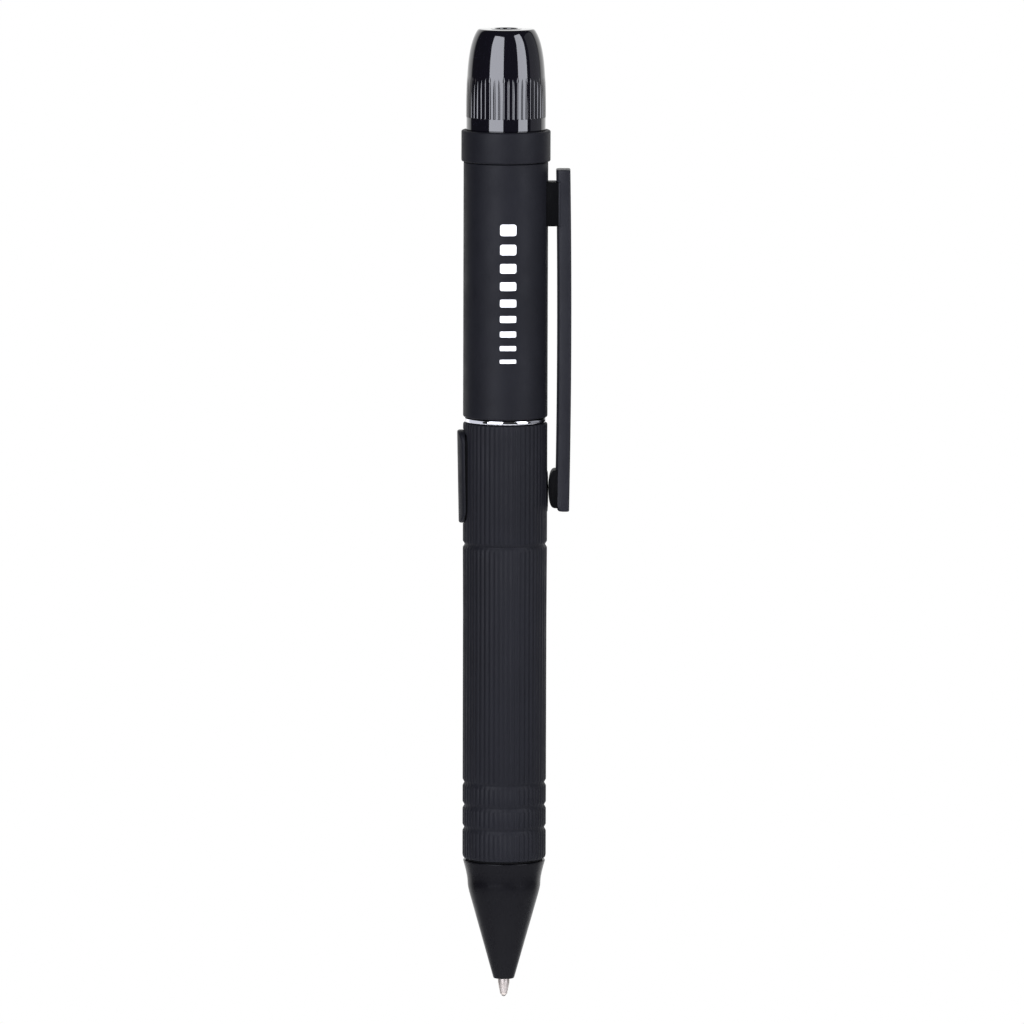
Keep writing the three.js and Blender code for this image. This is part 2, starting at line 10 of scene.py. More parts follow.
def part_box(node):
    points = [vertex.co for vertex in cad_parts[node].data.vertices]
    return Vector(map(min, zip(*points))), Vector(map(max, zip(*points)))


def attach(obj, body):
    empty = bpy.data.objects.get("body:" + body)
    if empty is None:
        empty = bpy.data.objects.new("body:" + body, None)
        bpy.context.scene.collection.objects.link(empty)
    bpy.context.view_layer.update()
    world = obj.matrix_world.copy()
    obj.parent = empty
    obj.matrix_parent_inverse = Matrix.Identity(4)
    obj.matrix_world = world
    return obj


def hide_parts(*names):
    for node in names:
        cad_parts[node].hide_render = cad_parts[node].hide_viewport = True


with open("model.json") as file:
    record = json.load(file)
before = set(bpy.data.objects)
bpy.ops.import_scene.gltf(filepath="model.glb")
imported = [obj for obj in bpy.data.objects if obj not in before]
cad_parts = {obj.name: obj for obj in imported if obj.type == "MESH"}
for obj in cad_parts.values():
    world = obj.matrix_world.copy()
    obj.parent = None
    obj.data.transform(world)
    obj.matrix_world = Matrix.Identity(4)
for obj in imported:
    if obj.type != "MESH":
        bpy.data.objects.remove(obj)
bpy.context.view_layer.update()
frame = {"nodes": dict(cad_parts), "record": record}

MM = 0.001
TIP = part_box("writing_ball")[0].z


def up(height):
    """The frame's z of a height in millimetres above the writing tip."""
    return TIP + height * MM


def height_of(node, top):
    """A CAD node's lower or upper end, in millimetres above the writing tip."""
    return (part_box(node)[1 if top else 0].z - TIP) / MM


def reach_of(node):
    """A CAD node's largest distance from the pen's axis across the view, in millimetres."""
    low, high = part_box(node)
    return max(high.y, -low.y) / MM


# ---- dimensions, in millimetres, taken from the frame ----------------------------------
BARREL_R = reach_of("upper_barrel")
COLLAR_R = reach_of("collar")
HEAD_R = reach_of("lamp_head")
RING_R = reach_of("trim_ring")
PEN_TOP = height_of("lamp_head", True)
COLLAR_BOTTOM = height_of("collar", False)
COLLAR_TOP = height_of("collar", True)
HEAD_SHOULDER = COLLAR_TOP + 0.1
BARREL_BOTTOM = height_of("upper_barrel", False)
BARREL_TOP = 131.9
RING_BOTTOM = height_of("trim_ring", False)
RING_TOP = height_of("trim_ring", True)
HOUSING_BOTTOM = height_of("switch_housing", False)
NECK_TOP = height_of("switch_housing", True)
HOUSING_TOP = RING_BOTTOM - 0.1
GRIP_BOTTOM = height_of("grip_sleeve", False)
GRIP_TOP = height_of("grip_sleeve", True)
NOSE_END = height_of("nose_cone", False)
NOSE_TOP = height_of("nose_gasket", False) - 0.05
SPIGOT_TOP = height_of("nose_cone", True)
SOCKET_R = 5.92  # outside of the barrel's upper end and inside of the head's skirt
CELL_BORE_R = 5.45
GRIP_BORE_R = 5.3
HOUSING_BORE_R = 5.35
APERTURE_R = 1.75

RIBS = 48
RIB_DEPTH = 0.105
RIB_STEPS = 8  # sides to each rib
GRIP_GROOVES = (26.5, 30.0, 33.5)
GROOVE_HALF = 0.5
GROOVE_DEPTH = 0.28
SEAM_LIP = 0.095  # how far the lips inside the twist seam stand towards one another

PRINT_LOW = 99.0
PRINT_BARS = 9
PRINT_SHORT = 0.6  # the lowest bar's length along the pen
PRINT_LONG = 1.75  # the highest bar's
PRINT_GAP = 1.35
PRINT_HALF = 1.25  # half of each bar's width
PRINT_OFFSET = 0.4  # to the clip's side of the barrel's middle
PRINT_SKIN = 0.012  # the ink's thickness
PRINT_ROOT = 0.05  # how far the bars reach into the barrel's wall


# ---- mesh helpers ----------------------------------------------------------------------
def new_object(name, verts, faces, sharp=35):
    """A mesh object in the scene, shaded smooth except across edges sharper than the angle."""
    mesh = bpy.data.meshes.new(name)
    mesh.from_pydata(verts, [], faces)
    made = bpy.data.objects.new(name, mesh)
    bpy.context.scene.collection.objects.link(made)
    settle(made, sharp)
    return made


def settle(made, sharp=35):
    """Merges doubled points, turns the faces outwards and sets the shading."""
    shell = bmesh.new()
    shell.from_mesh(made.data)
    bmesh.ops.remove_doubles(shell, verts=shell.verts, dist=1e-8)
    bmesh.ops.recalc_face_normals(shell, faces=shell.faces)
    shell.to_mesh(made.data)
    shell.free()
    made.data.shade_smooth()
    made.data.set_sharp_from_angle(angle=math.radians(sharp))


def rounded(corners, steps=5):
    """A closed outline whose corners (r, z, fillet) are rounded, fillet in millimetres."""
    points = []
    count = len(corners)
    for i, corner in enumerate(corners):
        here = Vector(corner[:2])
        fillet = corner[2] if len(corner) > 2 else 0
        before = Vector(corners[i - 1][:2]) - here
        after = Vector(corners[(i + 1) % count][:2]) - here
        reach = min(fillet, before.length * 0.45, after.length * 0.45)
        if reach <= 0:
            points.append(tuple(here))
            continue
        start = here + before.normalized() * reach
        end = here + after.normalized() * reach
        for k in range(steps + 1):
            t = k / steps
            bend = start * (1 - t) ** 2 + here * 2 * t * (1 - t) + end * t * t
            points.append(tuple(bend))
    return points


def revolve(name, outline, sides=192, closed=True, radius=None, sharp=35, shift=None):
    """A surface of revolution about the pen's axis through (r, z, ...) points.

    radius(point, turn) may give each point its own radius around the turn, from 0 to 1.
    shift(point, turn) may move a point round the turn."""
    verts, rings = [], []
    for point in outline:
        if point[0] < 1e-6:
            rings.append([len(verts)])
            verts.append((0, 0, up(point[1])))
            continue
        ring = []
        for k in range(sides):
            turn = shift(point, k / sides) if shift else k / sides
            r = radius(point, turn) if radius else point[0]
            angle = 2 * math.pi * turn
            ring.append(len(verts))
            verts.append((r * MM * math.cos(angle), r * MM * math.sin(angle), up(point[1])))
        rings.append(ring)
    pairs = list(zip(rings, rings[1:]))
    if closed:
        pairs.append((rings[-1], rings[0]))
    faces = []
    for low, high in pairs:
        if len(low) == 1 and len(high) == 1:
            continue
        for k in range(sides):
            n = (k + 1) % sides
            if len(low) == 1:
                faces.append((low[0], high[k], high[n]))
            elif len(high) == 1:
                faces.append((low[k], high[0], low[n]))
            else:
                faces.append((low[k], low[n], high[n], high[k]))
    return new_object(name, verts, faces, sharp)


def ribbed(point, turn):
    """The radius of a point (r, z, depth) on a surface of convex ribs with sharp valleys."""
    across = (turn * RIBS) % 1
    return point[0] - point[2] * (2 * across - 1) ** 2 if len(point) > 2 else point[0]


def loft(name, sections, sharp=35):
    """A closed solid through rings of points in the frame's millimetres (x, y, height)."""
    verts, faces = [], []
    size = len(sections[0])
    for section in sections:
        verts += [(x * MM, y * MM, up(z)) for x, y, z in section]
    for i in range(len(sections) - 1):
        a, b = i * size, (i + 1) * size
        faces += [
            (a + k, a + (k + 1) % size, b + (k + 1) % size, b + k) for k in range(size)
        ]
    faces.append(tuple(reversed(range(size))))
    last = (len(sections) - 1) * size
    faces.append(tuple(range(last, last + size)))
    return new_object(name, verts, faces, sharp)


def cut_away(target, cutter, sharp=35):
    """Takes the cutter's shape out of the target."""
    modifier = target.modifiers.new("cut", "BOOLEAN")
    modifier.operation = "DIFFERENCE"
    modifier.solver = "EXACT"
    modifier.object = cutter
    depsgraph = bpy.context.evaluated_depsgraph_get()
    cut_mesh = bpy.data.meshes.new_from_object(target.evaluated_get(depsgraph))
    target.modifiers.clear()
    target.data = cut_mesh
    bpy.data.objects.remove(cutter)
    settle(target, sharp)


def bevelled_block(name, low, high, width, segments=3):
    """A block between two corners in millimetres, with all its edges rounded."""
    shell = bmesh.new()
    bmesh.ops.create_cube(shell, size=1)
    for vert in shell.verts:
        x, y, z = (low[i] + (high[i] - low[i]) * (vert.co[i] + 0.5) for i in range(3))
        vert.co = Vector((x * MM, y * MM, up(z)))
    bmesh.ops.bevel(
        shell, geom=list(shell.edges), offset=width * MM, segments=segments,
        affect="EDGES", profile=0.5,
    )
    mesh = bpy.data.meshes.new(name)
    shell.to_mesh(mesh)
    shell.free()
    made = bpy.data.objects.new(name, mesh)
    bpy.context.scene.collection.objects.link(made)
    settle(made, 50)
    return made


def rounded_rectangle(half_width, half_height, corner, arc=8, side=6):
    """Points (across, along) round a rectangle with round corners, centred on zero."""
    corner = max(0.02, min(corner, half_width, half_height))
    points = []
    signs = ((1, 1), (-1, 1), (-1, -1), (1, -1))
    for quarter, (sx, sy) in enumerate(signs):
        centre = (sx * (half_width - corner), sy * (half_height - corner))
        for k in range(arc + 1):
            angle = math.pi / 2 * (quarter + k / arc)
            points.append(
                (centre[0] + corner * math.cos(angle), centre[1] + corner * math.sin(angle))
            )
        tx, ty = signs[(quarter + 1) % 4]
        turn = math.pi / 2 * (quarter + 1)
        start = points[-1]
        end = (
            tx * (half_width - corner) + corner * math.cos(turn),
            ty * (half_height - corner) + corner * math.sin(turn),
        )
        for k in range(1, side):
            t = k / side
            points.append((start[0] + (end[0] - start[0]) * t, start[1] + (end[1] - start[1]) * t))
    return points


# ---- materials -------------------------------------------------------------------------
class Finish:
    """A procedural material around one Principled shader, with object coordinates."""

    def __init__(self, name, colour, roughness, metallic=0.0, **sockets):
        self.material = bpy.data.materials.new(name)
        self.material.use_nodes = True
        self.tree = self.material.node_tree
        self.shader = self.tree.nodes["Principled BSDF"]
        self.place = self.tree.nodes.new("ShaderNodeTexCoord").outputs["Object"]
        self.shader.inputs["Base Color"].default_value = (*colour, 1)
        self.shader.inputs["Roughness"].default_value = roughness
        self.shader.inputs["Metallic"].default_value = metallic
        for socket, value in sockets.items():
            self.shader.inputs[socket.replace("_", " ")].default_value = value
        self.colour, self.roughness = colour, roughness
        self.normal = None

    def stretched(self, scale):
        """Object coordinates scaled by axis, for lines along the pen or rings around it."""
        mapping = self.tree.nodes.new("ShaderNodeMapping")
        mapping.inputs["Scale"].default_value = scale
        self.tree.links.new(self.place, mapping.inputs["Vector"])
        return mapping.outputs["Vector"]

    def noise(self, scale, detail=3.0, place=None):
        """Smooth noise around 0.5."""
        node = self.tree.nodes.new("ShaderNodeTexNoise")
        node.inputs["Scale"].default_value = scale
        node.inputs["Detail"].default_value = detail
        self.tree.links.new(place or self.place, node.inputs["Vector"])
        return node.outputs["Fac"]

    def spots(self, scale, size):
        """Small round spots, 1 inside and 0 outside."""
        cells = self.tree.nodes.new("ShaderNodeTexVoronoi")
        cells.inputs["Scale"].default_value = scale
        self.tree.links.new(self.place, cells.inputs["Vector"])
        return self.mapped(cells.outputs["Distance"], 0, size, 1, 0)

    def mapped(self, value, low, high, to_low, to_high):
        """A value carried linearly from one range to another."""
        node = self.tree.nodes.new("ShaderNodeMapRange")
        node.inputs["From Min"].default_value = low
        node.inputs["From Max"].default_value = high
        node.inputs["To Min"].default_value = to_low
        node.inputs["To Max"].default_value = to_high
        self.tree.links.new(value, node.inputs["Value"])
        return node.outputs["Result"]

    def vary_roughness(self, value, spread):
        """Roughness swings by the spread around its own value."""
        low, high = max(0.02, self.roughness - spread), self.roughness + spread
        swung = self.mapped(value, 0.3, 0.7, low, high)
        self.tree.links.new(swung, self.shader.inputs["Roughness"])

    def vary_colour(self, value, other, low=0.35, high=0.65):
        """The colour passes over to another where the value is high."""
        mix = self.tree.nodes.new("ShaderNodeMix")
        mix.data_type = "RGBA"
        current = self.shader.inputs["Base Color"]
        if current.is_linked:
            self.tree.links.new(current.links[0].from_socket, mix.inputs["A"])
        else:
            mix.inputs["A"].default_value = (*self.colour, 1)
        mix.inputs["B"].default_value = (*other, 1)
        self.tree.links.new(self.mapped(value, low, high, 0, 1), mix.inputs["Factor"])
        self.tree.links.new(mix.outputs["Result"], current)

    def bump(self, value, depth, strength=1.0):
        """Relief of a depth in millimetres, added to any relief already there."""
        node = self.tree.nodes.new("ShaderNodeBump")
        node.inputs["Distance"].default_value = depth * MM
        node.inputs["Strength"].default_value = strength
        self.tree.links.new(value, node.inputs["Height"])
        if self.normal:
            self.tree.links.new(self.normal, node.inputs["Normal"])
        self.normal = node.outputs["Normal"]
        self.tree.links.new(self.normal, self.shader.inputs["Normal"])


def soft_touch():
    """Matt rubberised coating: very fine grain, uneven sheen, a little dust."""
    colour = (0.0042, 0.0043, 0.0059)
    made = Finish("soft_touch_black", colour, 0.56, Specular_IOR_Level=0.092)
    made.vary_roughness(made.noise(260), 0.07)
    made.vary_colour(made.noise(90), tuple(c * 1.22 for c in colour))
    made.vary_colour(made.spots(900, 0.045), (0.02, 0.02, 0.022), 0.5, 1)
    made.bump(made.noise(9000, 4), 0.012)
    made.bump(made.noise(1500, 2), 0.01, 0.4)
    return made.material


def satin_nose():
    """Moulded satin plastic: smoother than the coating, with faint turning marks."""
    made = Finish("nose_satin_black", (0.0027, 0.0026, 0.0034), 0.29, Specular_IOR_Level=0.08)
    made.vary_roughness(made.noise(420), 0.05)
    rings = made.stretched((40, 40, 9000))
    made.bump(made.noise(1, 2, rings), 0.003)
    made.bump(made.noise(7000, 3), 0.004)
    return made.material


def gloss_black():
    """Polished black plastic: hairline rubbing marks and a trace of moulding ripple."""
    made = Finish("gloss_black", (0.0022, 0.002, 0.0034), 0.045, Specular_IOR_Level=0.5)
    made.vary_roughness(made.noise(900), 0.02)
    made.bump(made.noise(160, 1), 0.002, 0.3)
    hairlines = made.stretched((7000, 7000, 260))
    made.bump(made.noise(1, 2, hairlines), 0.0001)
    return made.material


def clip_metal():
    """Satin black coating over spring steel, with a fine powder texture."""
    made = Finish("clip_black_metal", (0.0062, 0.0063, 0.0082), 0.45, Specular_IOR_Level=0.1)
    made.vary_roughness(made.noise(500), 0.06)
    made.vary_colour(made.noise(140), (0.008, 0.0082, 0.0102))
    made.bump(made.noise(5200, 4), 0.014)
    return made.material


def deep_black():
    """Dull near-black plastic, darker than the coating: painted shade for the gaps between and
    under other parts.
    """
    # painted shade: this near-black stands in for the shade that falls in gaps, not for a darker
    # plastic
    made = Finish("deep_black", (0.0008, 0.0008, 0.001), 0.5, Specular_IOR_Level=0.03)
    made.vary_roughness(made.noise(600), 0.06)
    made.bump(made.noise(6000, 3), 0.01)
    return made.material


def chrome():
    """Polished chrome plating with the finest turning marks."""
    made = Finish("trim_chrome", (0.54, 0.54, 0.56), 0.06, 1.0)
    made.vary_roughness(made.noise(1400), 0.025)
    rings = made.stretched((60, 60, 12000))
    made.bump(made.noise(1, 2, rings), 0.0008)
    return made.material


def nickel_silver():
    """Turned nickel silver: warm, with rings from the lathe."""
    made = Finish("nickel_silver", (0.5, 0.455, 0.425), 0.36, 1.0)
    made.vary_roughness(made.noise(2500), 0.05)
    made.vary_colour(made.noise(1200), (0.44, 0.395, 0.36))
    rings = made.stretched((300, 300, 14000))
    made.bump(made.noise(1, 2, rings), 0.0008)
    return made.material


def carbide():
    """The writing ball: ground carbide, grey and a little inky."""
    made = Finish("carbide", (0.16, 0.15, 0.14), 0.3, 1.0)
    made.vary_roughness(made.noise(6000), 0.06)
    made.vary_colour(made.noise(4000), (0.08, 0.075, 0.07))
    return made.material


def drawn_steel():
    """Spring wire."""
    made = Finish("spring_steel", (0.55, 0.55, 0.57), 0.28, 1.0)
    made.vary_roughness(made.noise(3000), 0.08)
    made.bump(made.noise(8000, 3), 0.003)
    return made.material


def stamped_brass():
    """Contact strip, a little tarnished."""
    made = Finish("contact_brass", (0.6, 0.4, 0.12), 0.3, 1.0)
    made.vary_roughness(made.noise(1500), 0.08)
    made.vary_colour(made.noise(500), (0.45, 0.28, 0.09))
    made.bump(made.noise(6000, 3), 0.003)
    return made.material


def moulded_plastic():
    """Pale moulded plastic of the parts inside."""
    made = Finish("inner_plastic", (0.62, 0.62, 0.58), 0.48)
    made.vary_roughness(made.noise(700), 0.06)
    made.vary_colour(made.noise(220), (0.55, 0.55, 0.5))
    made.bump(made.noise(5000, 3), 0.006)
    return made.material


def solder_mask():
    """Green circuit board."""
    made = Finish("circuit_board", (0.01, 0.07, 0.03), 0.32, Coat_Weight=0.4)
    made.vary_colour(made.noise(900, 2), (0.02, 0.11, 0.05))
    made.vary_roughness(made.noise(1500), 0.08)
    made.bump(made.noise(4000, 2), 0.006)
    return made.material


def seal_rubber():
    """Matt black rubber."""
    made = Finish("rubber_seal", (0.003, 0.003, 0.0033), 0.72, Specular_IOR_Level=0.08)
    made.vary_roughness(made.noise(900), 0.08)
    made.bump(made.noise(5000, 4), 0.012)
    return made.material


def refill_plastic():
    """Dark blue ink tube."""
    made = Finish("refill_barrel", (0.02, 0.03, 0.1), 0.2, Coat_Weight=0.5)
    made.vary_roughness(made.noise(800), 0.05)
    made.vary_colour(made.noise(300), (0.012, 0.018, 0.06))
    return made.material


def lens_glass():
    """Clear lens: a faint violet tint and polishing marks."""
    made = Finish("lamp_lens", (0.82, 0.8, 0.95), 0.03, Transmission_Weight=0.92, IOR=1.49)
    made.vary_roughness(made.noise(1800), 0.02)
    made.bump(made.noise(2500, 2), 0.001)
    return made.material


def cell_wrap():
    """Printed sleeve of the cell: dark, with plain bands around it."""
    made = Finish("cell_sleeve", (0.07, 0.085, 0.1), 0.36, 0.3)
    bands = made.tree.nodes.new("ShaderNodeTexWave")
    bands.bands_direction = "Z"
    bands.inputs["Scale"].default_value = 22
    made.tree.links.new(made.place, bands.inputs["Vector"])
    made.vary_colour(bands.outputs["Fac"], (0.25, 0.2, 0.1), 0.9, 0.95)
    made.vary_roughness(made.noise(600), 0.06)
    return made.material


def print_white():
    """Pad-printed white, thin enough for the coating's grain to show."""
    made = Finish("print_white", (0.8, 0.8, 0.8), 0.5)
    made.vary_roughness(made.noise(1500), 0.08)
    made.vary_colour(made.noise(3000, 3), (0.62, 0.62, 0.63), 0.55, 0.8)
    made.bump(made.noise(9000, 4), 0.01)
    return made.material


MATERIALS = {
    "soft_touch_black": soft_touch(),
    "nose_satin_black": satin_nose(),
    "gloss_black": gloss_black(),
    "clip_black_metal": clip_metal(),
    "deep_black": deep_black(),
    "trim_chrome": chrome(),
    "nickel_silver": nickel_silver(),
    "spring_steel": drawn_steel(),
    "contact_brass": stamped_brass(),
    "inner_plastic": moulded_plastic(),
    "circuit_board": solder_mask(),
    "rubber_seal": seal_rubber(),
    "refill_barrel": refill_plastic(),
    "lamp_lens": lens_glass(),
    "cell_sleeve": cell_wrap(),
}


REPLACED = set()  # the CAD nodes that a drawn piece stands for


def place(piece, body, slot, replaces=()):
    """Gives a piece its finish and its body, and hides the CAD nodes that it stands for."""
    piece.data.materials.clear()
    piece.data.materials.append(MATERIALS[slot])
    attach(piece, body)
    if replaces:
        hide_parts(*replaces)
        REPLACED.update(replaces)


# ---- lamp head -------------------------------------------------------------------------
FLUTES = 52
FLUTE_STEPS = 16  # columns of faces to each flute and its land
FLUTE_BOTTOM = 136.45
FLUTE_CEILING = 144  # above every flute's upper end
FLUTE_R = 5.995  # radius at the bottom of the flutes, so that each runs out in a point
FLUTE_BEND = 2.2  # how fast a flute's round bottom rises across its width
FLUTE_POINT = 0.01  # how wide a flute's upper end is, as a share of the distance between flutes
DOME_START = 134.5
DOME_SPAN = 16.8
DOME_RISE = 3.9  # the superellipse's power along the pen
DOME_FALL = 3.6  # and across it
DOME_ROWS = 66
CROWN_LIP_R = 4.15  # outer radius of the head's flat top
CROWN_RAISE = 0.06  # how far the ring round the opening stands above it
LENS_R = 2.9
LENS_SEAT = 146.1
LENS_SHOULDER = 147.9  # the domed front starts here
LENS_DOME_R = 1.6
LENS_DOME_RISE = 1.5


def dome_radius(height):
    """The head's outline: a superellipse that ends in the flat top."""
    t = max(0.0, height - DOME_START) / DOME_SPAN
    return HEAD_R * (1 - t**DOME_RISE) ** (1 / DOME_FALL)


def make_head():
    """The dome: its stepped inside from the opening down, then its outside up to the crown."""
    rim = PEN_TOP - CROWN_RAISE
    skirt_end = BARREL_TOP + 0.2
    outline = [
        (APERTURE_R, 148.6), (LENS_R + 0.1, 148.6), (LENS_R + 0.1, LENS_SEAT), (4.6, LENS_SEAT),
        (4.6, 141.9), (5.4, 141.9), (5.4, skirt_end),
        (SOCKET_R, skirt_end), (SOCKET_R, HEAD_SHOULDER),
        (HEAD_R - 0.08, HEAD_SHOULDER), (HEAD_R, HEAD_SHOULDER + 0.1),
        (HEAD_R, FLUTE_BOTTOM - 0.2), (HEAD_R, FLUTE_BOTTOM - 0.05),
    ]
    top = PEN_TOP - 0.35
    for k in range(DOME_ROWS + 1):
        height = FLUTE_BOTTOM + (top - FLUTE_BOTTOM) * k / DOME_ROWS
        outline.append((dome_radius(height), height))
    crown = rounded([
        (dome_radius(top), top),
        (CROWN_LIP_R + 0.08, rim, 0.22),
        (2.45, rim, 0.0),
        (2.34, PEN_TOP, 0.06),
        (APERTURE_R, PEN_TOP, 0.2),
        (APERTURE_R, 149),
    ], 6)
    outline += crown[1:-1]
    pitch = 2 * math.pi * HEAD_R / FLUTES

    def radius(point, turn):
        if not FLUTE_BOTTOM <= point[1] <= FLUTE_CEILING or point[0] < SOCKET_R - 0.02:
            return point[0]
        across = abs((turn * FLUTES) % 1 - 0.5) * pitch
        return min(point[0], FLUTE_R + FLUTE_BEND * across**2)

    def shift(point, turn):
        """Moves the columns so that a quarter and three quarters lie on a flute's edges."""
        depth = max(0.0, min(dome_radius(point[1]), HEAD_R) - FLUTE_R)
        edge = max(FLUTE_POINT, math.sqrt(depth / FLUTE_BEND) / pitch)
        flute, across = divmod(turn * FLUTES, 1)
        side = across - 0.5
        part = abs(side) / 0.25
        moved = edge * part if part <= 1 else edge + (0.5 - edge) * (part - 1)
        return (flute + 0.5 + math.copysign(moved, side)) / FLUTES

    head = revolve("head_dome", outline, FLUTES * FLUTE_STEPS, True, radius, 22, shift)
    place(head, "upper_body", "gloss_black", ["lamp_head"])


def make_lens():
    """The clear window: a flanged disc with a domed front that fills the opening."""
    back = LENS_SEAT + 0.1
    outline = [(0, back)]
    outline += rounded([
        (LENS_R, back, 0.1), (LENS_R, LENS_SHOULDER - 0.3, 0.1),
        (LENS_DOME_R + 0.06, LENS_SHOULDER, 0.1),
    ], 3)
    for angle in (0.25, 0.5, 0.8, 1.1, 1.4):
        rise = LENS_DOME_RISE * math.sin(angle)
        outline.append((LENS_DOME_R * math.cos(angle), LENS_SHOULDER + rise))
    outline.append((0, LENS_SHOULDER + LENS_DOME_RISE + 0.02))
    lens = revolve("lamp_window", outline, 96, False, None, 40)
    place(lens, "upper_body", "lamp_lens", ["head_lens"])


# ---- barrel, collar and trim -----------------------------------------------------------
def make_collar():
    """The ring between head and barrel."""
    inside = SOCKET_R + 0.08
    outline = rounded([
        (inside, COLLAR_BOTTOM),
        (COLLAR_R, COLLAR_BOTTOM, 0.32),
        (COLLAR_R, COLLAR_TOP, 0.3),
        (inside, COLLAR_TOP),
    ])
    place(revolve("collar_ring", outline), "upper_body", "soft_touch_black", ["collar"])


def make_barrel():
    """The smooth tube around the cell."""
    outline = rounded([
        (CELL_BORE_R, BARREL_BOTTOM),
        (BARREL_R, BARREL_BOTTOM, 0.32),
        (BARREL_R, COLLAR_BOTTOM - 0.1, 0.2),
        (SOCKET_R, COLLAR_BOTTOM - 0.1),
        (SOCKET_R, BARREL_TOP),
        (CELL_BORE_R, BARREL_TOP),
    ], 8)
    barrel = revolve("barrel_tube", outline)
    place(barrel, "upper_body", "soft_touch_black", ["upper_barrel"])


def make_ring():
    """The chrome ring."""
    outline = rounded([
        (CELL_BORE_R, RING_BOTTOM),
        (RING_R, RING_BOTTOM, 0.3),
        (RING_R, RING_TOP, 0.3),
        (CELL_BORE_R, RING_TOP),
    ], 6)
    place(revolve("ring_band", outline, 256), "ring", "trim_chrome", ["trim_ring"])


def printed_bar(name, across, along, half_width, half_length, material):
    """One printed bar that follows the barrel's curve. Across is measured round the barrel."""
    corner = min(half_width, half_length) * 0.4
    steps = 14
    sections = []
    for k in range(steps + 1):
        u = half_width * math.sin(math.pi * (k / steps - 0.5))
        into_corner = max(0.0, abs(u) - (half_width - corner))
        v = half_length - corner + math.sqrt(max(0.0, corner**2 - into_corner**2))
        angle = -math.pi / 2 + (across + u) / BARREL_R
        section = []
        for lift, end in (
            (-PRINT_ROOT, -v), (PRINT_SKIN, -v), (PRINT_SKIN, v), (-PRINT_ROOT, v)
        ):
            r = BARREL_R + lift
            section.append((r * math.cos(angle), r * math.sin(angle), along + end))
        sections.append(section)
    bar = loft(name, sections, 40)
    bar.data.materials.append(material)
    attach(bar, "upper_body")


def make_print():
    """A plain column of bars that grow towards the lamp: no letters, no mark."""
    white = print_white()
    along = PRINT_LOW
    for k in range(PRINT_BARS):
        length = PRINT_SHORT + (PRINT_LONG - PRINT_SHORT) * k / (PRINT_BARS - 1)
        middle = along + length / 2
        printed_bar(f"beam_bar_{k + 1}", PRINT_OFFSET, middle, PRINT_HALF, length / 2, white)
        along += length + PRINT_GAP


# ---- ribbed switch section -------------------------------------------------------------
BUTTON_LOW, BUTTON_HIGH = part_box("lamp_button")
BUTTON_BOTTOM = 73.8
BUTTON_TOP = 88.1
BUTTON_MIDDLE = (BUTTON_BOTTOM + BUTTON_TOP) / 2
BUTTON_HALF_HEIGHT = (BUTTON_TOP - BUTTON_BOTTOM) / 2
BUTTON_HALF = (BUTTON_HIGH.y - BUTTON_LOW.y) / 2 / MM
BUTTON_CORNER = 2.2
BUTTON_CROWN_R = 5.0  # the radius of its face, across the pen
BUTTON_REACH = -BUTTON_LOW.x / MM
BUTTON_LEAN = 0.27  # how much less the face stands out at its lower end
BUTTON_BACK = 4.3  # how far the skirt's back is from the axis
BUTTON_GAP = 0.2
BUTTON_CAP = 1.15  # how thick the key's outer part is; behind it is a narrower skirt, painted near-black as the shade in the gap round the key
BUTTON_SKIRT_INSET = 0.15
BUTTON_ROUND = 0.3

PAD_RISE = 0.045  # how far its crest stands above the CAD pad's
PAD_FOOT_R = BARREL_R - 0.16
PAD_BACK_R = BARREL_R - 0.6  # its hidden back, inside the wall
PAD_CORNER = 1.2
PAD_BLUNTNESS = 0.15  # the power of its profile: the smaller, the flatter its top

NECK_R = CELL_BORE_R - 0.1
NECK_BORE_R = 4.55
NECK_ROOT_R = 5.3
NECK_GROOVE = 92.9  # the lower side of the seal's groove
NECK_THREAD_PITCH = 2.0
NECK_THREAD_STARTS = 3
NECK_THREAD_DEPTH = 0.22


def make_thread(name, body, slot, core, crest, pitch, starts, low, high, bore):
    """A threaded tube: the crest climbs by starts times the pitch in one turn."""
    rows_to_a_pitch, run_out_length = 14, 0.3
    steps = max(24, int((high - low) / pitch * rows_to_a_pitch))
    outline = [(bore, low), (core, low)]
    outline += [(core, low + (high - low) * k / steps, 1) for k in range(1, steps)]
    outline += [(core, high), (bore, high)]

    def radius(point, turn):
        if len(point) < 3:
            return point[0]
        phase = ((point[1] - low) / pitch - starts * turn) % 1
        ridge = max(0.0, 1 - abs(phase - 0.5) * 3.2)
        from_end = min(point[1] - low, high - point[1])
        run_out = min(1.0, from_end / run_out_length)
        return core + (crest - core) * min(1.0, ridge * 1.5) * run_out

    place(revolve(name, outline, 144, True, radius, 30), body, slot)


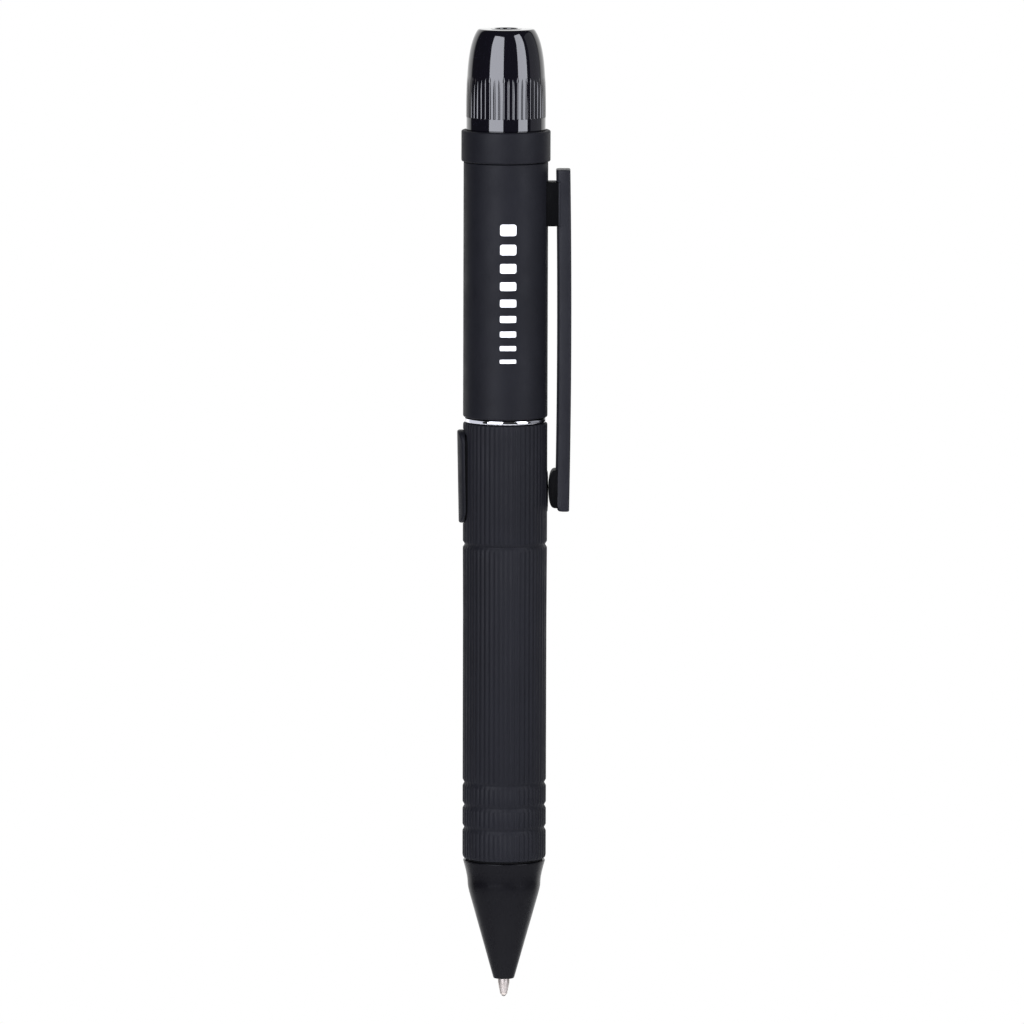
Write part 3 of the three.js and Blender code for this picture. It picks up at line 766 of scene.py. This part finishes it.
def make_housing():
    """The ribbed section with the button's hole, and its threaded neck."""
    top, low, depth = HOUSING_TOP, HOUSING_BOTTOM, RIB_DEPTH
    outline = [
        (HOUSING_BORE_R, low - SEAM_LIP),
        (BARREL_R - 0.29, low - SEAM_LIP),
        (BARREL_R - 0.27, low),
        (BARREL_R - 0.24, low + 0.05, 0.0),
        (BARREL_R - 0.03, low + 0.38, depth * 0.9),
        (BARREL_R, low + 0.5, depth),
        (BARREL_R, top - 0.32, depth),
        (BARREL_R - 0.04, top - 0.14, depth),
        (BARREL_R - 0.12, top - 0.03, depth * 0.6),
        (BARREL_R - 0.24, top, 0.0),
        (NECK_ROOT_R, top),
        (NECK_ROOT_R, top - 0.7),
        (HOUSING_BORE_R, top - 0.7),
    ]
    housing = revolve("housing_shell", outline, RIBS * RIB_STEPS, True, ribbed, 30)
    hole = rounded_rectangle(
        BUTTON_HALF + BUTTON_GAP, BUTTON_HALF_HEIGHT + BUTTON_GAP, BUTTON_CORNER + BUTTON_GAP
    )
    sections = [[(x, y, BUTTON_MIDDLE + z) for y, z in hole] for x in (-9, -3)]
    cut_away(housing, loft("button_hole", sections), 30)
    place(housing, "switch_section", "soft_touch_black", ["switch_housing"])
    make_thread(
        "neck_thread", "switch_section", "soft_touch_black",
        NECK_R - NECK_THREAD_DEPTH, NECK_R, NECK_THREAD_PITCH, NECK_THREAD_STARTS,
        top - 0.7, NECK_GROOVE - 0.35, NECK_BORE_R,
    )
    floor_r = NECK_R - 0.5
    lip = rounded([
        (NECK_BORE_R, NECK_GROOVE - 0.36), (NECK_R, NECK_GROOVE - 0.36, 0.05),
        (NECK_R, NECK_GROOVE, 0.05), (floor_r, NECK_GROOVE), (floor_r, NECK_GROOVE + 1),
        (NECK_R, NECK_GROOVE + 1, 0.05), (NECK_R, NECK_TOP, 0.15), (NECK_BORE_R, NECK_TOP),
    ], 3)
    place(revolve("neck_end", lip, 144), "switch_section", "soft_touch_black")


def make_button():
    """The key, crowned and rounded at its edge, and the skirt behind it, painted near-black as the
    shade in the gap round the key.
    """

    def face_at(y, z):
        lean = BUTTON_LEAN * (BUTTON_HALF_HEIGHT - z) / (2 * BUTTON_HALF_HEIGHT)
        return BUTTON_REACH - BUTTON_CROWN_R - lean + math.sqrt(BUTTON_CROWN_R**2 - y * y)

    def ring(inset, depth_at):
        corner = max(0.08, BUTTON_CORNER - inset)
        edge = rounded_rectangle(BUTTON_HALF - inset, BUTTON_HALF_HEIGHT - inset, corner, 10, 8)
        return [(-depth_at(y, z), y, BUTTON_MIDDLE + z) for y, z in edge]

    foot = BUTTON_REACH - BUTTON_CAP
    sections = [
        ring(BUTTON_SKIRT_INSET, lambda y, z: foot - 0.1),
        ring(0.06, lambda y, z: foot - 0.1),
        ring(0.0, lambda y, z: foot - 0.04),
    ]
    steps = 6
    for k in range(steps + 1):
        inset = BUTTON_ROUND * (1 - math.cos(math.pi / 2 * k / steps))
        drop = BUTTON_ROUND * (1 - math.sin(math.pi / 2 * k / steps))
        sections.append(ring(inset, lambda y, z, drop=drop: face_at(y, z) - drop))
    for inset in (0.5, 0.9, 1.3, 1.8, 2.3, BUTTON_HALF - 0.1):
        sections.append(ring(inset, face_at))
    key = loft("button_key", sections, 40)
    place(key, "button", "soft_touch_black", ["lamp_button"])
    skirt = loft("button_skirt", [
        ring(BUTTON_SKIRT_INSET, lambda y, z: BUTTON_BACK),
        ring(BUTTON_SKIRT_INSET, lambda y, z: foot - 0.09),
    ])
    # painted shade: the skirt takes the near-black finish to show the shadowed gap between the key
    # and the ribs
    place(skirt, "button", "deep_black")


def make_pad():
    """A low swelling on the ribs, where the clip's ball lands."""
    low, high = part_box("clip_landing_pad")
    half_width = (high.y - low.y) / 2 / MM
    bottom, top = height_of("clip_landing_pad", False), height_of("clip_landing_pad", True)
    middle, half_height = (bottom + top) / 2, (top - bottom) / 2
    edge = rounded_rectangle(half_width, half_height, PAD_CORNER, 8, 8)
    rise = high.x / MM + PAD_RISE - PAD_FOOT_R

    def ring(share, r):
        """The outline shrunk to a share of its size and laid round the barrel at a radius."""
        points = [(u * share, v * share) for u, v in edge]
        return [(math.sqrt(r**2 - y * y), y, middle + z) for y, z in points]

    sections = [ring(1.0, PAD_BACK_R), ring(1.0, PAD_FOOT_R)]
    for share in (0.94, 0.85, 0.7, 0.5, 0.25, 0.05):
        sections.append(ring(share, PAD_FOOT_R + rise * (1 - share**2) ** PAD_BLUNTNESS))
    pad = loft("landing_pad", sections, 45)
    place(pad, "switch_section", "soft_touch_black", ["clip_landing_pad"])


# ---- grip, gasket, nose and refill tip -------------------------------------------------
WAIST_R = BARREL_R - 0.05  # the grip's radius at its grooves
WAIST_TOP = 60  # above this the grip widens to the barrel's radius
NOSE_MOUTH_R = 1.27
NOSE_BORE_R = 4.4
NOSE_SPIGOT_R = 5.2
NOSE_THREAD_PITCH = 0.75
NOSE_THREAD_DEPTH = 0.2
GASKET_BORE_R = 5.28
REFILL_R = 1.175  # a standard metal refill's
BALLPOINT_R = 0.36


def make_grip():
    """The ribbed grip with its three V grooves, from its lower end up to the twist seam."""
    low, top, depth, waist = GRIP_BOTTOM, GRIP_TOP, RIB_DEPTH, WAIST_R
    outline = [
        (GRIP_BORE_R, low),
        (waist - 0.34, low, 0.0),
        (waist - 0.2, low + 0.06, depth * 0.4),
        (waist - 0.08, low + 0.25, depth * 0.8),
        (waist, low + 0.6, depth),
    ]
    for groove in GRIP_GROOVES:
        outline += [
            (waist, groove - GROOVE_HALF - 0.08, depth),
            (waist - 0.03, groove - GROOVE_HALF, depth),
            (waist - GROOVE_DEPTH, groove - 0.05, 0.0),
            (waist - GROOVE_DEPTH, groove + 0.05, 0.0),
            (waist - 0.03, groove + GROOVE_HALF, depth),
            (waist, groove + GROOVE_HALF + 0.08, depth),
        ]
    outline += [
        (waist, WAIST_TOP, depth),
        (BARREL_R, top - 0.5, depth),
        (BARREL_R - 0.03, top - 0.38, depth * 0.9),
        (BARREL_R - 0.24, top - 0.05, 0.0),
        (BARREL_R - 0.27, top),
        (BARREL_R - 0.29, top + SEAM_LIP),
        (GRIP_BORE_R, top + SEAM_LIP),
    ]
    grip = revolve("grip_shell", outline, RIBS * RIB_STEPS, True, ribbed, 30)
    place(grip, "grip", "soft_touch_black", ["grip_sleeve"])


def make_nose():
    """The cone with the soft bead at its shoulder, and the thread above it."""
    outline = rounded([
        (NOSE_MOUTH_R, NOSE_END),
        (1.6, NOSE_END, 0.16),
        (5.38, 16.4, 1.4),
        (5.6, 17.4, 0.9),
        (5.66, 18.5, 0.9),
        (5.8, 19.3, 0.7),
        (6.04, 20.3, 0.6),
        (6.36, NOSE_TOP, 0.2),
        (5.0, NOSE_TOP),
        (NOSE_BORE_R, 19),
        (2.2, 10),
        (NOSE_MOUTH_R, 8),
    ], 8)
    nose = revolve("nose_shell", outline, 192, True, None, 32)
    place(nose, "nose", "nose_satin_black", ["nose_cone"])
    make_thread(
        "nose_thread", "nose", "nose_satin_black",
        NOSE_SPIGOT_R - NOSE_THREAD_DEPTH, NOSE_SPIGOT_R, NOSE_THREAD_PITCH, 1,
        NOSE_TOP - 0.2, SPIGOT_TOP, NOSE_BORE_R,
    )


def make_gasket():
    """The thin seal between the nose and the grip."""
    outside = reach_of("nose_gasket")
    low, high = height_of("nose_gasket", False), height_of("nose_gasket", True)
    outline = rounded([
        (GASKET_BORE_R, low), (outside, low, 0.08), (outside, high, 0.08), (GASKET_BORE_R, high),
    ], 4)
    gasket = revolve("gasket_ring", outline)
    place(gasket, "gasket", "rubber_seal", ["nose_gasket"])


def make_refill_tip():
    """The turned ballpoint: the ball's socket, the cone, and the neck in the ink tube."""
    socket = [(0, 0.46), (0.34, 0.46), (0.4, 0.36), (0.46, 0.34), (0.52, 0.42), (0.57, 0.6)]
    cone = [(0.64, 1.0), (0.81, 1.75), (0.9, 2.3), (0.94, 3.2), (1.02, 4.4), (1.12, 5.6)]
    neck = [(REFILL_R, 6.2), (REFILL_R, 9.0), (0.95, 9.0), (0.95, 11.2), (0, 11.2)]
    tip = revolve("ballpoint_cone", socket + cone + neck, 96, False, None, 30)
    place(tip, "refill", "nickel_silver", ["refill_tip"])


def make_writing_ball():
    """The ball, standing on the writing tip's lowest point."""
    steps = 16
    outline = [(0, 0)]
    for k in range(1, steps):
        angle = math.pi * k / steps
        outline.append((BALLPOINT_R * math.sin(angle), BALLPOINT_R * (1 - math.cos(angle))))
    outline.append((0, 2 * BALLPOINT_R))
    ball = revolve("ballpoint_ball", outline, 48, False, None, 60)
    place(ball, "refill", "spring_steel", ["writing_ball"])
    ball.data.materials[0] = carbide()


# ---- pocket clip -----------------------------------------------------------------------
CLIP_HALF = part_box("clip_arm")[1].y / MM
CLIP_BOTTOM = height_of("clip_arm", False)
CLIP_TOP = height_of("clip_arm", True)
CLIP_FOOT = CLIP_BOTTOM + 0.15  # the drawn arm's lower end
CLIP_THICKNESS = 2.2
CLIP_CHAMFER = 0.42
CLIP_EDGE = ((0.0, 0.2), (0.03, 0.1), (0.09, 0.03), (0.2, 0.0))  # rounding: (from the end, inset)
CLIP_LEAD = 0.9  # length of the slope at its foot
CLIP_SLOPE = 0.6  # how far the slope cuts into the foot
NOTCH_GAP = 0.08
NOTCH_HALF = 4  # wider than the arm, so that a notch goes right across
POST_BOTTOM = height_of("clip_post", False)
POST_TOP = height_of("clip_post", True)
POST_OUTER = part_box("clip_post")[1].x / MM
BALL_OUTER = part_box("clip_ball")[1].x / MM
NOTCH_FILL = 0.075  # the post and the ball go this much further into their notches
CONTACT_STEPS = 28
CONTACT_POWER = 0.5  # the smaller, the blunter the ball's profile
CONTACT_CHEEK = 0.03  # bevel round the ball's flat cheeks


def clip_inner(height):
    """How far the clip's inner face is from the axis: it bows out in its middle."""
    ends = (7.66, 7.93, 7.7)
    t = 2 * (height - CLIP_BOTTOM) / (CLIP_TOP - CLIP_BOTTOM) - 1
    return ends[1] + (ends[2] - ends[0]) / 2 * t + ((ends[2] + ends[0]) / 2 - ends[1]) * t * t


def clip_section(height, inset, inner_shift=0.0):
    """The arm's cross-section: round outer edges, broad chamfers along the inner ones."""
    inner = clip_inner(height) + inset + inner_shift
    outer = clip_inner(height) + CLIP_THICKNESS - inset
    half = CLIP_HALF - inset
    round_r, chamfer = 0.32, CLIP_CHAMFER
    points = []
    for side in (-1, 1):
        arc = []
        for k in range(6):
            angle = math.pi / 2 * k / 5
            x = outer - round_r + round_r * math.cos(angle)
            arc.append((x, side * (half - round_r + round_r * math.sin(angle)), height))
        inner_edge = [
            (inner + chamfer + 0.05, side * half, height),
            (inner + chamfer - 0.04, side * (half - 0.02), height),
            (inner + 0.02, side * (half - chamfer + 0.04), height),
            (inner, side * (half - chamfer - 0.05), height),
        ]
        run = arc + inner_edge
        points += run if side < 0 else list(reversed(run))
    return points


def make_clip():
    """The sprung arm: one loft from foot to top, notched for the ball and the post."""
    gap, rows = NOTCH_GAP, 40
    sections = []
    for lift, inset in CLIP_EDGE:
        slope = CLIP_SLOPE * (1 - lift / CLIP_LEAD)
        sections.append(clip_section(CLIP_FOOT + lift, inset, slope))
    low, high = CLIP_FOOT + CLIP_LEAD, CLIP_TOP - CLIP_EDGE[-1][0]
    for k in range(rows):
        sections.append(clip_section(low + (high - low) * k / rows, 0.0))
    for drop, inset in reversed(CLIP_EDGE):
        sections.append(clip_section(CLIP_TOP - drop, inset))
    arm = loft("clip_spring", sections, 28)
    for bottom, top, depth in (
        (POST_BOTTOM, POST_TOP, POST_OUTER),
        (height_of("clip_ball", False), height_of("clip_ball", True), BALL_OUTER),
    ):
        near = (6, -NOTCH_HALF, bottom - gap)
        far = (depth + gap, NOTCH_HALF, top + gap)
        cut_away(arm, bevelled_block("notch", near, far, 0.03, 1), 28)
    place(arm, "clip", "clip_black_metal", ["clip_arm"])


def make_post():
    """The post, painted near-black as the shade between the barrel and the arm, and on its end the
    metal leaf that fills the arm's notch.
    """
    post = bevelled_block(
        "clip_saddle",
        (5.9, -CLIP_HALF + 0.05, POST_BOTTOM),
        (POST_OUTER + NOTCH_FILL - 0.03, CLIP_HALF - 0.05, POST_TOP),
        0.14,
    )
    # painted shade: the post takes the near-black finish for the shade between barrel and arm
    place(post, "upper_body", "deep_black", ["clip_post"])
    leaf = bevelled_block(
        "clip_hinge_leaf",
        (clip_inner(POST_TOP) + CLIP_CHAMFER - 0.06, -CLIP_HALF + 0.01, POST_BOTTOM - 0.02),
        (POST_OUTER + NOTCH_FILL, CLIP_HALF - 0.01, POST_TOP + 0.02),
        0.03,
        2,
    )
    place(leaf, "upper_body", "clip_black_metal")


def make_ball():
    """A half-round contact with flat cheeks, let into the arm, painted near-black as the shade
    between the arm and the barrel.
    """
    outer = BALL_OUTER + NOTCH_FILL
    depth = outer - (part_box("clip_ball")[0].x / MM - 0.01)
    bottom, top = height_of("clip_ball", False), height_of("clip_ball", True)
    middle, half_height = (bottom + top) / 2 + 0.05, (top - bottom) / 2 - 0.05
    half, cheek = CLIP_HALF - 0.02, CONTACT_CHEEK
    outline = []
    for k in range(CONTACT_STEPS + 1):
        angle = math.pi * k / CONTACT_STEPS
        x = outer - depth * math.sin(angle) ** CONTACT_POWER
        outline.append((x, middle - half_height * math.cos(angle)))
    sections = []
    for y, inset in (
        (-half, cheek), (-half + cheek, 0.0), (0, 0.0), (half - cheek, 0.0), (half, cheek)
    ):
        share = 1 - inset / depth
        sections.append([
            (outer + (x - outer) * share, y, middle + (z - middle) * share) for x, z in outline
        ])
    ball = loft("clip_contact", sections, 40)
    # painted shade: the contact takes the near-black finish of the shaded gap under the arm
    place(ball, "clip", "deep_black", ["clip_ball"])


# ---- CAD nodes that keep their own shape -----------------------------------------------
def finish_cad_nodes():
    """Gives every node that still shows in its CAD shape the finish of its slot."""
    slots = {part["node"]: part["material_slot"] for part in frame["record"]["subparts"]}
    for name, node in frame["nodes"].items():
        if name not in REPLACED:
            node.data.materials.clear()
            node.data.materials.append(MATERIALS[slots[name]])


make_head()
make_lens()
make_collar()
make_barrel()
make_ring()
make_print()
make_housing()
make_button()
make_pad()
make_grip()
make_nose()
make_gasket()
make_refill_tip()
make_writing_ball()
make_clip()
make_post()
make_ball()
finish_cad_nodes()


# ---- studio ----------------------------------------------------------------------------
CENTRE = Vector((0, 0, up(75)))
COOL = (0.95, 0.97, 1.07)  # the soft lights are a little bluer than the backdrop
FLOOR_DROP = 0.22  # metres under the writing tip
FLOOR_RADIUS = 0.9
FLOOR_GLOW = (0.12, 0.24, 2.0)  # painted light, a glowing pool in the floor's middle: from and to which radius it fades, and its strength
MIRROR_EDGE = (0.48, 0.64)  # where what the pen mirrors turns from dark to white
MIRROR_LEVELS = (0.05, 1.7)
CAMERA_ELEVATION = 6.5
CAMERA_DISTANCE = 1.8
CAMERA_LENS = 411
CAMERA_ROLL = 0.16
CAMERA_TARGET = Vector((1.08 * MM, 0, up(75.4)))


def make_floor():
    """A pale disc well under the hanging pen, fading out at its rim, with painted light: its
    middle glows and lights the pen from below.
    """
    shell = bmesh.new()
    bmesh.ops.create_circle(shell, cap_ends=True, segments=96, radius=FLOOR_RADIUS)
    mesh = bpy.data.meshes.new("floor")
    shell.to_mesh(mesh)
    shell.free()
    floor = bpy.data.objects.new("floor", mesh)
    bpy.context.scene.collection.objects.link(floor)
    floor.location.z = up(0) - FLOOR_DROP
    pale = Finish("floor_paint", (0.9, 0.9, 0.9), 0.9)
    length = pale.tree.nodes.new("ShaderNodeVectorMath")
    length.operation = "LENGTH"
    pale.tree.links.new(pale.place, length.inputs[0])
    from_middle = length.outputs["Value"]
    fade = pale.mapped(from_middle, FLOOR_RADIUS * 0.35, FLOOR_RADIUS * 0.97, 1, 0)
    pale.tree.links.new(fade, pale.shader.inputs["Alpha"])
    # painted light: the floor's middle glows at full strength out to the first radius and fades to
    # none at the second
    full, none, strength = FLOOR_GLOW
    glow = pale.mapped(from_middle, full, none, strength, 0)
    pale.shader.inputs["Emission Color"].default_value = (1, 1, 1, 1)
    pale.tree.links.new(glow, pale.shader.inputs["Emission Strength"])
    mesh.materials.append(pale.material)


def make_softbox(name, azimuth, low, high, width, distance, radiance):
    """A tall soft light. Azimuth 0 is beside the camera; low and high are elevations."""
    angle = math.radians(azimuth)
    bottom = distance * math.tan(math.radians(low))
    top = distance * math.tan(math.radians(high))
    across = 2 * distance * math.tan(math.radians(width) / 2)
    data = bpy.data.lights.new(name, "AREA")
    data.shape = "RECTANGLE"
    data.size, data.size_y = across, top - bottom
    data.energy = radiance * math.pi * across * (top - bottom)
    data.color = COOL
    lamp = bpy.data.objects.new(name, data)
    bpy.context.scene.collection.objects.link(lamp)
    out = Vector((math.sin(angle), -math.cos(angle), 0))
    lamp.location = CENTRE + out * distance + Vector((0, 0, (top + bottom) / 2))
    lamp.rotation_euler = out.to_track_quat("Z", "Y").to_euler()
    return lamp


def light_only(lamp, name):
    """Keeps a light, such as a small card held close by, to one piece."""
    lit = bpy.data.collections.new(lamp.name + "_lit")
    lit.objects.link(bpy.data.objects[name])
    lamp.light_linking.receiver_collection = lit


def make_world():
    """White to look at. What the pen mirrors is dark in front and white behind it."""
    world = bpy.data.worlds.new("studio")
    bpy.context.scene.world = world
    world.use_nodes = True
    tree = world.node_tree
    tree.nodes.clear()
    output = tree.nodes.new("ShaderNodeOutputWorld")
    seen = tree.nodes.new("ShaderNodeBackground")
    seen.inputs["Color"].default_value = (1, 1, 1, 1)
    seen.inputs["Strength"].default_value = 1.0
    around = tree.nodes.new("ShaderNodeBackground")
    direction = tree.nodes.new("ShaderNodeTexCoord")
    split = tree.nodes.new("ShaderNodeSeparateXYZ")
    tree.links.new(direction.outputs["Generated"], split.inputs["Vector"])
    zone = tree.nodes.new("ShaderNodeMapRange")
    zone.interpolation_type = "SMOOTHSTEP"
    zone.inputs["From Min"].default_value = MIRROR_EDGE[0]
    zone.inputs["From Max"].default_value = MIRROR_EDGE[1]
    zone.inputs["To Min"].default_value = MIRROR_LEVELS[0]
    zone.inputs["To Max"].default_value = MIRROR_LEVELS[1]
    tree.links.new(split.outputs["Y"], zone.inputs["Value"])
    tree.links.new(zone.outputs["Result"], around.inputs["Strength"])
    ray = tree.nodes.new("ShaderNodeLightPath")
    mix = tree.nodes.new("ShaderNodeMixShader")
    tree.links.new(ray.outputs["Is Camera Ray"], mix.inputs[0])
    tree.links.new(around.outputs[0], mix.inputs[1])
    tree.links.new(seen.outputs[0], mix.inputs[2])
    tree.links.new(mix.outputs[0], output.inputs["Surface"])


def make_camera():
    """At the height and distance of the photograph, with its slight roll."""
    elevation = math.radians(CAMERA_ELEVATION)
    data = bpy.data.cameras.new("camera")
    data.lens = CAMERA_LENS
    data.sensor_width = 36
    data.clip_start, data.clip_end = 0.01, 50
    camera = bpy.data.objects.new("camera", data)
    bpy.context.scene.collection.objects.link(camera)
    back = Vector((0, -math.cos(elevation), math.sin(elevation)))
    camera.location = CAMERA_TARGET + back * CAMERA_DISTANCE
    camera.rotation_mode = "QUATERNION"
    aim = (-back).to_track_quat("-Z", "Y")
    camera.rotation_quaternion = aim @ Quaternion((0, 0, 1), math.radians(CAMERA_ROLL))
    bpy.context.scene.camera = camera


make_floor()
make_softbox("key_left", -29, low=-11, high=48, width=42, distance=1.2, radiance=9)
make_softbox("key_right", 50.5, low=-11, high=50, width=29, distance=1.2, radiance=8.5)
make_softbox("fill_right", 98, low=-11, high=40, width=44, distance=1.2, radiance=0.42)
ring_card = make_softbox(
    "ring_card", -102, low=-40, high=40, width=72, distance=0.6, radiance=1.15
)
light_only(ring_card, "ring_band")
make_world()
make_camera()
bpy.context.scene.view_settings.view_transform = "Standard"
